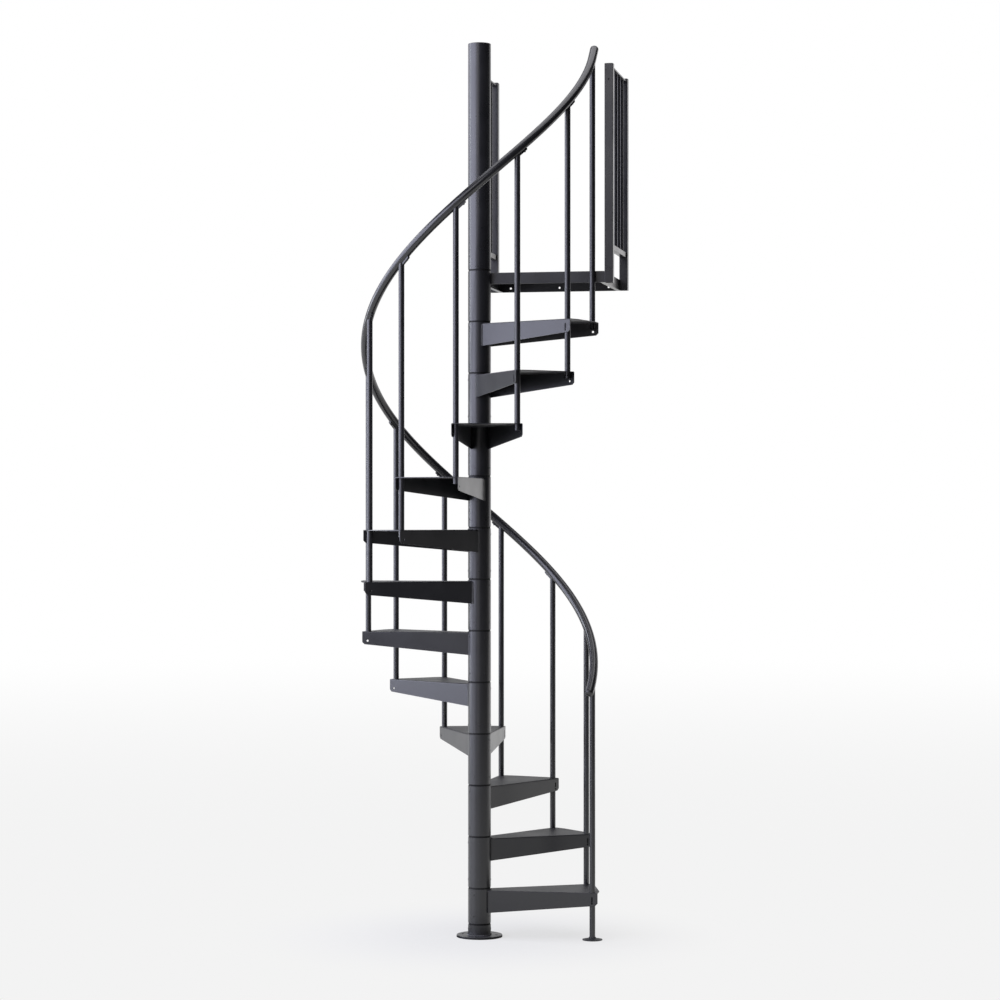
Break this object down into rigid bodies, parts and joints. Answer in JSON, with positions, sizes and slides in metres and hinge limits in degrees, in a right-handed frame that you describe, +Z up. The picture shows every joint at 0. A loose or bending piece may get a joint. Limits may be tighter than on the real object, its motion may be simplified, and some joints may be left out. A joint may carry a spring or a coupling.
{
  "type": "spiral staircase",
  "caption": "Steel spiral staircase: wedge treads on a sleeved centre column, round balusters, a helical handrail, and a square top landing with two side guards.",
  "frame": {"origin": "on the column's axis at the floor, the middle of the base plate's underside", "axes": "+Z up the column, +X along the landing's front edge and through the newel, +Y from the landing's front towards the upper floor; the stair climbs anticlockwise from above"},
  "size_m": [1.1311, 1.0668, 3.9692],
  "materials": {
    "powder_coat": "charcoal grey powder coat, fine texture, low sheen",
    "handrail_coat": "charcoal grey powder coat, smooth satin",
    "end_plug": "black moulded plug, matt"
  },
  "bodies": {
    "root": {"base_plate": "powder_coat", "centre_pole": "powder_coat", "upper_sleeve": "powder_coat", "column_cap": "powder_coat", "newel_foot": "powder_coat", "newel": "powder_coat", "landing": "powder_coat", "landing_guard_left": "powder_coat", "landing_guard_right": "powder_coat", "tread_01": "powder_coat", "tread_02": "powder_coat", "tread_03": "powder_coat", "tread_04": "powder_coat", "tread_05": "powder_coat", "tread_06": "powder_coat", "tread_07": "powder_coat", "tread_08": "powder_coat", "tread_09": "powder_coat", "tread_10": "powder_coat", "tread_11": "powder_coat", "tread_12": "powder_coat", "baluster_01": "powder_coat", "baluster_02": "powder_coat", "baluster_03": "powder_coat", "baluster_04": "powder_coat", "baluster_05": "powder_coat", "baluster_06": "powder_coat", "baluster_07": "powder_coat", "baluster_08": "powder_coat", "baluster_09": "powder_coat", "baluster_10": "powder_coat", "baluster_11": "powder_coat", "baluster_12": "powder_coat", "handrail_section_1": "handrail_coat", "handrail_section_2": "handrail_coat", "handrail_section_3": "handrail_coat", "handrail_section_4": "handrail_coat", "handrail_lower_cap": "end_plug", "handrail_upper_cap": "end_plug"}
  },
  "joints": []
}
